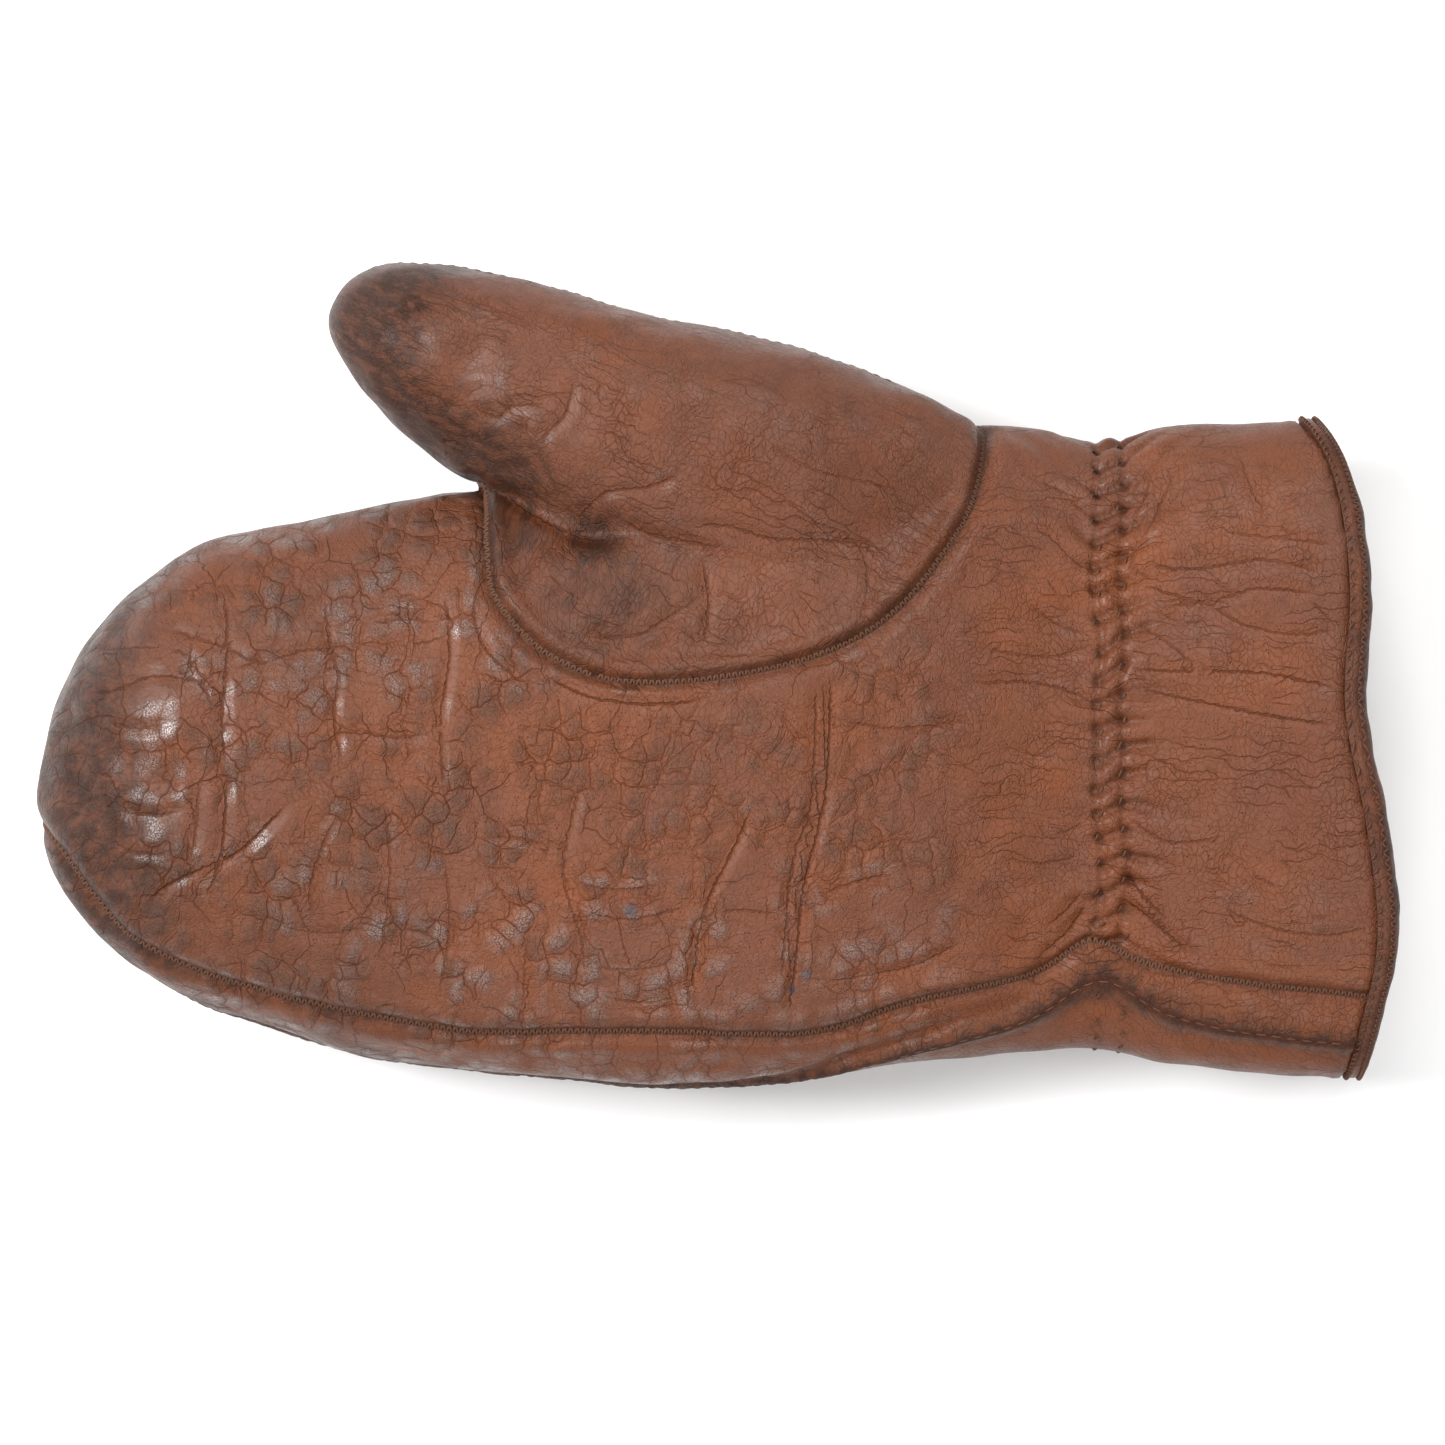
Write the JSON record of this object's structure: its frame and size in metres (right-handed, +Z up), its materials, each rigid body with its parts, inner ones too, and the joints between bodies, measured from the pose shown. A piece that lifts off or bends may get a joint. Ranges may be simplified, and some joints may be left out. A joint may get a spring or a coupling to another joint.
{
  "type": "lined leather mitten",
  "caption": "Right-hand leather mitten with an inset thumb, a side strip, a gathered wrist, a bound cuff and a pile lining.",
  "frame": {"origin": "on the surface the mitten lies on, under the middle of its box; it lies on its back, palm up", "axes": "+X towards the cuff, +Y towards the thumb, +Z up out of the palm"},
  "size_m": [0.2299, 0.1401, 0.0434],
  "materials": {
    "leather": "worn tan-brown pigskin, satin, creased, with pores in threes",
    "edge_leather": "darker rubbed leather edge",
    "pile": "cream wool pile",
    "elastic": "woven elastic tape",
    "thread": "dark brown waxed thread"
  },
  "bodies": {
    "hand": {"palm_leather": "leather", "back_leather": "leather", "side_strip_leather": "leather", "hem_binding": "edge_leather", "palm_lining": "pile", "back_lining": "pile", "wrist_elastic": "elastic", "palm_edge_stitching": "thread", "side_ridge_stitching": "thread", "index_back_stitching": "thread", "thumb_set_stitching": "thread", "wrist_stitch_row_hand": "thread", "wrist_stitch_row_cuff": "thread", "hem_stitching_inner": "thread", "hem_stitching_outer": "thread"},
    "thumb": {"thumb_leather": "leather", "thumb_lining": "pile", "thumb_outer_stitching": "thread"}
  },
  "joints": [
    {"name": "thumb_swing", "type": "hinge", "parent": "hand", "child": "thumb", "pos_m": [-0.026, 0.04, 0.023], "axis": [0, 0, 1], "range_deg": [-15, 25], "stiffness_Nm_per_rad": 0.08, "deforming": ["thumb_leather", "thumb_lining", "thumb_outer_stitching"]}
  ]
}
